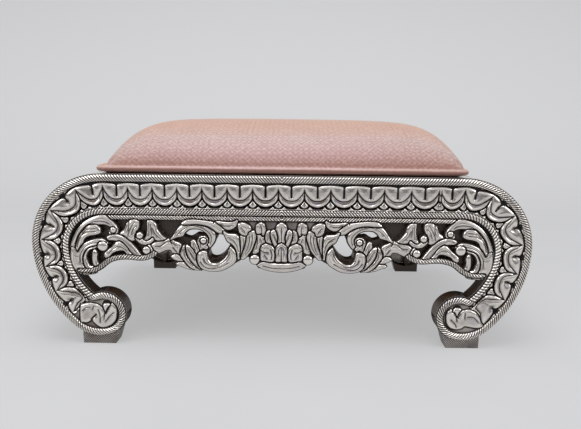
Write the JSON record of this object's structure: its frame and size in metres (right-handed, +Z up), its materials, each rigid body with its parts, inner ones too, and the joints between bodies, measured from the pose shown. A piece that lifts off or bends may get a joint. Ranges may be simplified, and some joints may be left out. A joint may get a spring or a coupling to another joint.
{
  "type": "kneeling bench",
  "caption": "Low kneeling bench with embossed silver-clad scroll legs, a pierced leaf apron, curved end panels and a crowned satin cushion fixed to a deck.",
  "frame": {"origin": "on the floor, under the middle of the bench", "axes": "+X to the bench's right as seen from the front, front along -Y, +Z up"},
  "size_m": [0.61, 0.356, 0.281],
  "materials": {
    "silver": "embossed silver sheet, polished on the crests and dark with tarnish in the grooves",
    "dark_wood": "dark stained hardwood, low sheen",
    "plywood": "bare plywood",
    "steel": "zinc plated screws",
    "foam": "upholstery foam",
    "satin": "rose and peach satin with a small woven figure",
    "piping": "satin covered piping cord",
    "dust_cloth": "thin black lining cloth"
  },
  "bodies": {
    "root": {"front_rail_core": "dark_wood", "front_rail_sheet": "silver", "front_apron_core": "dark_wood", "front_apron_sheet": "silver", "front_left_leg_core": "dark_wood", "front_left_leg_sheet": "silver", "front_left_foot_block": "dark_wood", "front_left_foot_sheet": "silver", "front_left_apron_dowel": "dark_wood", "front_right_leg_core": "dark_wood", "front_right_leg_sheet": "silver", "front_right_foot_block": "dark_wood", "front_right_foot_sheet": "silver", "front_right_apron_dowel": "dark_wood", "rear_rail_core": "dark_wood", "rear_rail_sheet": "silver", "rear_apron_core": "dark_wood", "rear_apron_sheet": "silver", "rear_left_leg_core": "dark_wood", "rear_left_leg_sheet": "silver", "rear_left_foot_block": "dark_wood", "rear_left_foot_sheet": "silver", "rear_left_apron_dowel": "dark_wood", "rear_right_leg_core": "dark_wood", "rear_right_leg_sheet": "silver", "rear_right_foot_block": "dark_wood", "rear_right_foot_sheet": "silver", "rear_right_apron_dowel": "dark_wood", "left_end_panel": "dark_wood", "left_end_sheet": "silver", "left_deck_batten": "dark_wood", "front_left_corner_block": "dark_wood", "rear_left_corner_block": "dark_wood", "right_end_panel": "dark_wood", "right_end_sheet": "silver", "right_deck_batten": "dark_wood", "front_right_corner_block": "dark_wood", "rear_right_corner_block": "dark_wood", "seat_deck": "plywood", "front_deck_cleat": "dark_wood", "rear_deck_cleat": "dark_wood", "deck_screw_1": "steel", "deck_screw_2": "steel", "deck_screw_3": "steel", "deck_screw_4": "steel", "deck_screw_5": "steel", "deck_screw_6": "steel", "cushion_board": "plywood", "cushion_foam": "foam", "cushion_cover": "satin", "cushion_welt": "piping", "cushion_dust_cloth": "dust_cloth", "cushion_screw_1": "steel", "cushion_screw_2": "steel", "cushion_screw_3": "steel", "cushion_screw_4": "steel"}
  },
  "joints": []
}
